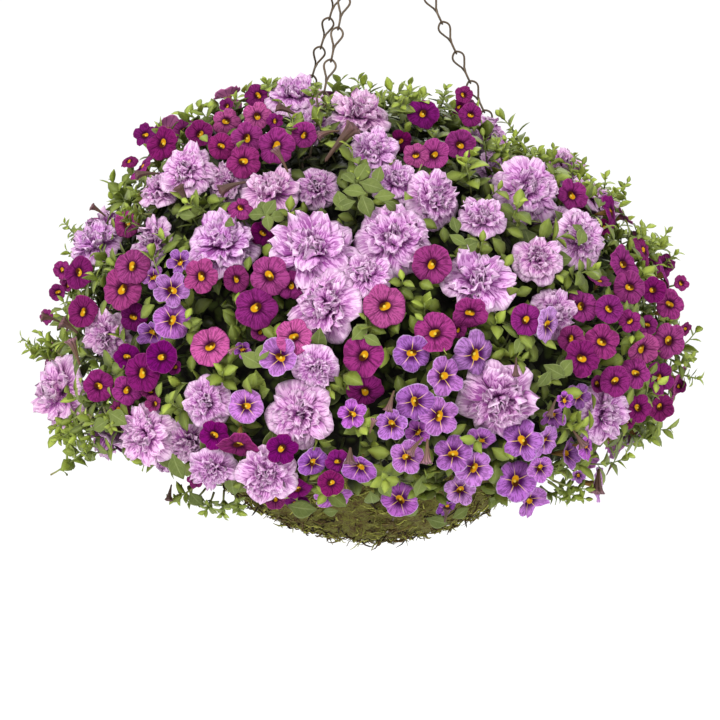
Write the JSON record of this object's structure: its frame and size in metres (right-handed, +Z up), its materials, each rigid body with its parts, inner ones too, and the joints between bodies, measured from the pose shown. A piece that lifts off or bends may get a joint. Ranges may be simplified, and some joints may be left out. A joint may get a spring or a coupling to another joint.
{
  "type": "calibrachoa and petunia hanging basket",
  "caption": "Round-bottomed moss-lined wire basket on three chains and a hook, under a mound of magenta and violet calibrachoa and lilac double petunias.",
  "frame": {"origin": "point inside the hook's crook that bears on its support", "axes": "+Z up along the hanging line; -Y towards the front of the mound; +X to the right as seen from the front"},
  "size_m": [0.5186, 0.5187, 0.6024],
  "materials": {
    "painted_wire": "dark brown-grey weathered wire, half matt",
    "moss": "matted strands of green and brown moss, matt",
    "soil": "dark crumbly potting soil, matt",
    "foliage": "soft green leaves, slightly hairy, matt with a faint sheen",
    "lilac_petals": "soft ruffled petals with darker veins, matt",
    "magenta_petals": "velvety petals, matt",
    "violet_petals": "velvety petals with a pale yellow star, matt"
  },
  "bodies": {
    "root": {"chain_back": "painted_wire", "chain_front": "painted_wire", "chain_right": "painted_wire", "foliage_01": "foliage", "foliage_02": "foliage", "foliage_03": "foliage", "foliage_04": "foliage", "foliage_05": "foliage", "foliage_06": "foliage", "foliage_07": "foliage", "foliage_08": "foliage", "hanger_hook": "painted_wire", "lilac_petunia_01": "lilac_petals", "lilac_petunia_02": "lilac_petals", "lilac_petunia_03": "lilac_petals", "lilac_petunia_04": "lilac_petals", "lilac_petunia_05": "lilac_petals", "lilac_petunia_06": "lilac_petals", "lilac_petunia_07": "lilac_petals", "lilac_petunia_08": "lilac_petals", "lilac_petunia_09": "lilac_petals", "lilac_petunia_10": "lilac_petals", "lilac_petunia_11": "lilac_petals", "lilac_petunia_12": "lilac_petals", "lilac_petunia_13": "lilac_petals", "lilac_petunia_14": "lilac_petals", "magenta_calibrachoa_01": "magenta_petals", "magenta_calibrachoa_02": "magenta_petals", "magenta_calibrachoa_03": "magenta_petals", "magenta_calibrachoa_04": "magenta_petals", "magenta_calibrachoa_05": "magenta_petals", "magenta_calibrachoa_06": "magenta_petals", "magenta_calibrachoa_07": "magenta_petals", "magenta_calibrachoa_08": "magenta_petals", "magenta_calibrachoa_09": "magenta_petals", "magenta_calibrachoa_10": "magenta_petals", "magenta_calibrachoa_11": "magenta_petals", "magenta_calibrachoa_12": "magenta_petals", "magenta_calibrachoa_13": "magenta_petals", "magenta_calibrachoa_14": "magenta_petals", "magenta_calibrachoa_15": "magenta_petals", "magenta_calibrachoa_16": "magenta_petals", "magenta_calibrachoa_17": "magenta_petals", "magenta_calibrachoa_18": "magenta_petals", "moss_liner": "moss", "potting_soil": "soil", "violet_calibrachoa_01": "violet_petals", "violet_calibrachoa_02": "violet_petals", "violet_calibrachoa_03": "violet_petals", "violet_calibrachoa_04": "violet_petals", "violet_calibrachoa_05": "violet_petals", "violet_calibrachoa_06": "violet_petals", "violet_calibrachoa_07": "violet_petals", "violet_calibrachoa_08": "violet_petals", "violet_calibrachoa_09": "violet_petals", "wire_basket": "painted_wire"}
  },
  "joints": []
}
